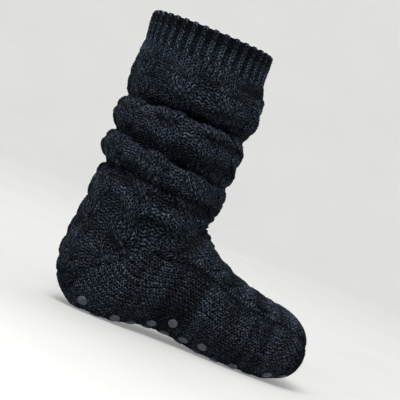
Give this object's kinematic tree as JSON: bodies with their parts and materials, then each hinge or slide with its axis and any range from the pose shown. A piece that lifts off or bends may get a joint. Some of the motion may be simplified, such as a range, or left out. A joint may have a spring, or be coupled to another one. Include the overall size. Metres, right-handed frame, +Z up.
{
  "type": "slipper sock",
  "caption": "Knitted slipper sock with a ribbed cuff, slouched cabled leg, plain foot and grip dots under the sole; open at the cuff",
  "frame": {"origin": "middle of the bounding box at floor level, where the grip dots of the heel and ball rest", "axes": "+X towards the toe, +Z up along the leg, +Y to the wearer's left when facing +X"},
  "size_m": [0.24, 0.104, 0.2663],
  "materials": {
    "heather_yarn": "knitted marl yarn, brushed",
    "grip_silicone": "moulded silicone, satin"
  },
  "bodies": {
    "root": {"knitted_sock": "heather_yarn", "grip_dot_01_a": "grip_silicone", "grip_dot_01_b": "grip_silicone", "grip_dot_01_c": "grip_silicone", "grip_dot_01_d": "grip_silicone", "grip_dot_02_a": "grip_silicone", "grip_dot_02_b": "grip_silicone", "grip_dot_02_c": "grip_silicone", "grip_dot_03_a": "grip_silicone", "grip_dot_03_b": "grip_silicone", "grip_dot_03_c": "grip_silicone", "grip_dot_03_d": "grip_silicone", "grip_dot_04_a": "grip_silicone", "grip_dot_04_b": "grip_silicone", "grip_dot_04_c": "grip_silicone", "grip_dot_05_a": "grip_silicone", "grip_dot_05_b": "grip_silicone", "grip_dot_05_c": "grip_silicone", "grip_dot_05_d": "grip_silicone", "grip_dot_06_a": "grip_silicone", "grip_dot_06_b": "grip_silicone", "grip_dot_06_c": "grip_silicone", "grip_dot_06_d": "grip_silicone", "grip_dot_06_e": "grip_silicone", "grip_dot_07_a": "grip_silicone", "grip_dot_07_b": "grip_silicone", "grip_dot_07_c": "grip_silicone", "grip_dot_07_d": "grip_silicone", "grip_dot_08_a": "grip_silicone", "grip_dot_08_b": "grip_silicone", "grip_dot_08_c": "grip_silicone", "grip_dot_08_d": "grip_silicone", "grip_dot_08_e": "grip_silicone", "grip_dot_09_a": "grip_silicone", "grip_dot_09_b": "grip_silicone", "grip_dot_09_c": "grip_silicone", "grip_dot_09_d": "grip_silicone", "grip_dot_10_a": "grip_silicone", "grip_dot_10_b": "grip_silicone", "grip_dot_10_c": "grip_silicone", "grip_dot_10_d": "grip_silicone", "grip_dot_10_e": "grip_silicone", "grip_dot_11_a": "grip_silicone", "grip_dot_11_b": "grip_silicone", "grip_dot_11_c": "grip_silicone", "grip_dot_11_d": "grip_silicone", "grip_dot_12_a": "grip_silicone", "grip_dot_12_b": "grip_silicone", "grip_dot_12_c": "grip_silicone", "grip_dot_12_d": "grip_silicone", "grip_dot_12_e": "grip_silicone", "grip_dot_13_a": "grip_silicone", "grip_dot_13_b": "grip_silicone", "grip_dot_13_c": "grip_silicone", "grip_dot_13_d": "grip_silicone"}
  },
  "joints": []
}
